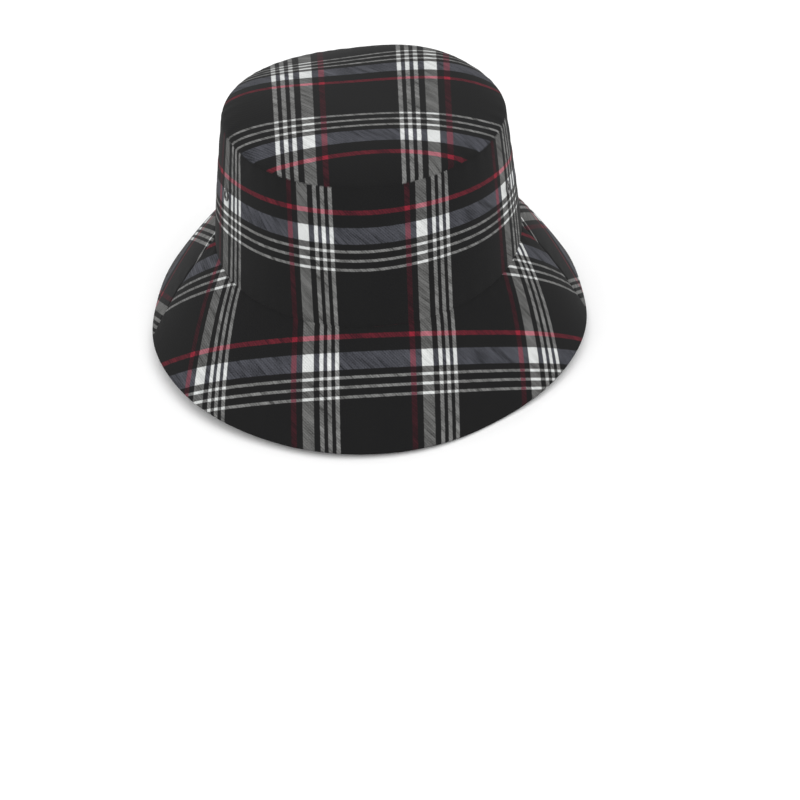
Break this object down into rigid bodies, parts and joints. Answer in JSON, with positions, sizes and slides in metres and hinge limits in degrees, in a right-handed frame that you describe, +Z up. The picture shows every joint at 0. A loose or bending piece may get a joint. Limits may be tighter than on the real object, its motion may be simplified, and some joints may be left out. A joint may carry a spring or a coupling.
{
  "type": "bucket hat",
  "caption": "Lined cloth bucket hat with a domed oval tip, upright sides, a wide downward brim, a sweatband and vent eyelets, in a dark plaid twill.",
  "frame": {"origin": "under the middle of the hat, level with the edge of the brim that it stands on", "axes": "+Z up through the tip, +Y towards the back of the head, +X to the wearer's left"},
  "size_m": [0.2454, 0.2734, 0.1357],
  "materials": {
    "plaid_twill": "matt printed cotton twill, near-black ground with grey, white and dark red checks",
    "lining_cotton": "plain black cotton",
    "band_cotton": "black cotton twill tape",
    "interlining": "off-white non-woven",
    "sewing_thread": "black polyester thread",
    "label_satin": "blank white satin ribbon",
    "black_metal": "satin black enamelled brass"
  },
  "bodies": {
    "root": {"crown_tip": "plaid_twill", "crown_side_front": "plaid_twill", "crown_side_back": "plaid_twill", "brim_top_front": "plaid_twill", "brim_top_back": "plaid_twill", "brim_under_front": "plaid_twill", "brim_under_back": "plaid_twill", "brim_interlining_front": "interlining", "brim_interlining_back": "interlining", "lining_tip": "lining_cotton", "lining_side_front": "lining_cotton", "lining_side_back": "lining_cotton", "sweatband": "band_cotton", "sweatband_tape": "interlining", "tip_seam_thread": "sewing_thread", "crown_brim_thread": "sewing_thread", "brim_edge_thread": "sewing_thread", "lining_tip_thread": "sewing_thread", "sweatband_thread": "sewing_thread", "side_seam_thread_left": "sewing_thread", "lining_seam_thread_left": "sewing_thread", "brim_seam_thread_left": "sewing_thread", "side_seam_thread_right": "sewing_thread", "lining_seam_thread_right": "sewing_thread", "brim_seam_thread_right": "sewing_thread", "eyelet_left_front": "black_metal", "eyelet_washer_left_front": "black_metal", "eyelet_left_back": "black_metal", "eyelet_washer_left_back": "black_metal", "eyelet_right_front": "black_metal", "eyelet_washer_right_front": "black_metal", "eyelet_right_back": "black_metal", "eyelet_washer_right_back": "black_metal", "size_label": "label_satin", "care_label": "label_satin"}
  },
  "joints": []
}
